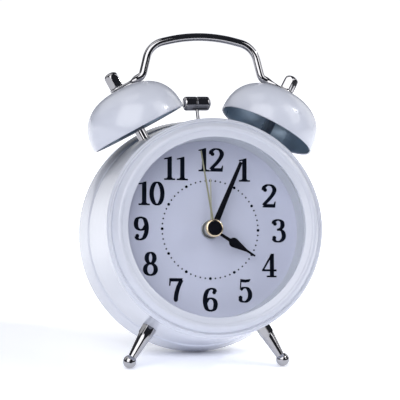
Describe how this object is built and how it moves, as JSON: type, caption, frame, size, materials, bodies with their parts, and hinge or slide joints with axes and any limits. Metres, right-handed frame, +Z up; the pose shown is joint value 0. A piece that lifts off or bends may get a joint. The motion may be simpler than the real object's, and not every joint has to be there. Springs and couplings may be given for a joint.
{
  "type": "twin-bell alarm clock",
  "caption": "Round white desk alarm clock with a domed bell on each shoulder, a hammer between them, an arched chrome carrying handle and chrome ball feet.",
  "frame": {"origin": "centre of the bounding box at the table, under the clock", "axes": "+Z up from the table, -Y towards the viewer of the dial, +X to the right as seen from the front"},
  "size_m": [0.1172, 0.0878, 0.1594],
  "materials": {
    "white_enamel": "gloss",
    "white_plastic": "gloss",
    "dial_white": "satin",
    "clear_glass": "clear",
    "chrome": "polished",
    "steel": "brushed",
    "brass": "satin",
    "black_paint": "satin",
    "gold_paint": "satin",
    "black_plastic": "matte",
    "grey_plastic": "matte",
    "board_green": "matte",
    "copper_wire": "satin",
    "cell_jacket": "satin"
  },
  "bodies": {
    "case": {"front_bezel": "white_enamel", "lens": "clear_glass", "well_ring": "white_plastic", "dial_plate": "dial_white", "dial_nut": "steel", "body_shell": "white_enamel", "cover_pillars": "steel", "rear_cover": "white_plastic", "cover_screws": "steel", "battery_cell": "cell_jacket", "battery_contact_plus": "brass", "battery_contact_minus": "brass", "bell_left": "white_enamel", "bell_right": "white_enamel", "bell_post_left": "chrome", "bell_post_right": "chrome", "post_nuts": "steel", "handle": "chrome", "cap_nut_left": "chrome", "cap_nut_right": "chrome", "foot_left": "chrome", "foot_right": "chrome", "foot_nuts": "steel", "movement_front": "grey_plastic", "movement_back": "grey_plastic", "movement_screws": "steel", "stator": "steel", "coil": "copper_wire", "circuit_board": "board_green", "quartz_crystal": "chrome", "hammer_bracket": "steel", "bracket_screws": "steel", "hammer_pivot": "steel", "alarm_motor": "steel"},
    "second": {"second_wheel": "brass", "second_hand": "gold_paint", "hub_button": "black_paint"},
    "third": {"third_wheel": "brass"},
    "minute": {"centre_wheel": "brass", "minute_hand": "black_paint"},
    "motion": {"motion_wheel": "brass", "time_knob": "black_plastic"},
    "hour": {"hour_wheel": "brass", "hour_hand": "black_paint"},
    "idler": {"idler_wheel": "grey_plastic"},
    "rotor": {"rotor": "grey_plastic"},
    "alarm_setting": {"alarm_set_stem": "brass", "alarm_knob": "black_plastic"},
    "alarm_pointer": {"alarm_wheel": "brass", "alarm_hand": "gold_paint"},
    "hammer": {"hammer_arm": "steel", "hammer_rod": "chrome", "hammer_head": "chrome"},
    "crank": {"crank_wheel": "grey_plastic"},
    "motor": {"motor_pinion": "brass"},
    "switch": {"alarm_switch": "black_plastic"},
    "door": {"battery_door": "white_plastic"}
  },
  "joints": [
    {"name": "second_turn", "type": "hinge", "parent": "case", "child": "second", "pos_m": [0, -0.00173, 0.06444], "axis": [0, 0.9604, -0.2785], "continuous": true},
    {"name": "third_turn", "type": "hinge", "parent": "case", "child": "third", "pos_m": [-0.00725, 0.00177, 0.0765], "axis": [0, 0.9604, -0.2785], "continuous": true},
    {"name": "minute_turn", "type": "hinge", "parent": "case", "child": "minute", "pos_m": [0, -0.00173, 0.06444], "axis": [0, 0.9604, -0.2785], "continuous": true},
    {"name": "motion_turn", "type": "hinge", "parent": "case", "child": "motion", "pos_m": [0, -0.00591, 0.05003], "axis": [0, 0.9604, -0.2785], "continuous": true},
    {"name": "hour_turn", "type": "hinge", "parent": "case", "child": "hour", "pos_m": [0, -0.00173, 0.06444], "axis": [0, 0.9604, -0.2785], "continuous": true},
    {"name": "idler_turn", "type": "hinge", "parent": "case", "child": "idler", "pos_m": [0.01256, 0.00029, 0.0714], "axis": [0, 0.9604, -0.2785], "continuous": true},
    {"name": "rotor_turn", "type": "hinge", "parent": "case", "child": "rotor", "pos_m": [0.02306, 0.00029, 0.0714], "axis": [0, 0.9604, -0.2785], "continuous": true},
    {"name": "alarm_setting_turn", "type": "hinge", "parent": "case", "child": "alarm_setting", "pos_m": [-0.018, -0.00173, 0.06444], "axis": [0, 0.9604, -0.2785], "continuous": true},
    {"name": "alarm_pointer_turn", "type": "hinge", "parent": "case", "child": "alarm_pointer", "pos_m": [0, -0.00173, 0.06444], "axis": [0, 0.9604, -0.2785], "continuous": true},
    {"name": "hammer_swing", "type": "hinge", "parent": "case", "child": "hammer", "pos_m": [0, 0.00719, 0.09517], "axis": [0, 0.9604, -0.2785], "range_deg": [0, 11.5]},
    {"name": "crank_turn", "type": "hinge", "parent": "case", "child": "crank", "pos_m": [0, 0.00969, 0.10382], "axis": [0, 0.9604, -0.2785], "continuous": true},
    {"name": "motor_turn", "type": "hinge", "parent": "case", "child": "motor", "pos_m": [0.008, 0.00969, 0.10382], "axis": [0, 0.9604, -0.2785], "continuous": true},
    {"name": "switch_slide", "type": "slide", "parent": "case", "child": "switch", "axis": [1, 0, 0], "range_m": [0, 0.004]},
    {"name": "door_removal", "type": "slide", "parent": "case", "child": "door", "axis": [0, 0.9604, -0.2785], "range_m": [0, 0.02]}
  ],
  "couplings": [
    {"joint": "third_turn", "follows": "second_turn", "ratio": -0.13333},
    {"joint": "minute_turn", "follows": "second_turn", "ratio": 0.016667},
    {"joint": "motion_turn", "follows": "second_turn", "ratio": -0.0055556},
    {"joint": "hour_turn", "follows": "second_turn", "ratio": 0.0013889},
    {"joint": "idler_turn", "follows": "second_turn", "ratio": -5},
    {"joint": "rotor_turn", "follows": "second_turn", "ratio": 30},
    {"joint": "alarm_pointer_turn", "follows": "alarm_setting_turn", "ratio": -0.5},
    {"joint": "motor_turn", "follows": "crank_turn", "ratio": -3}
  ]
}
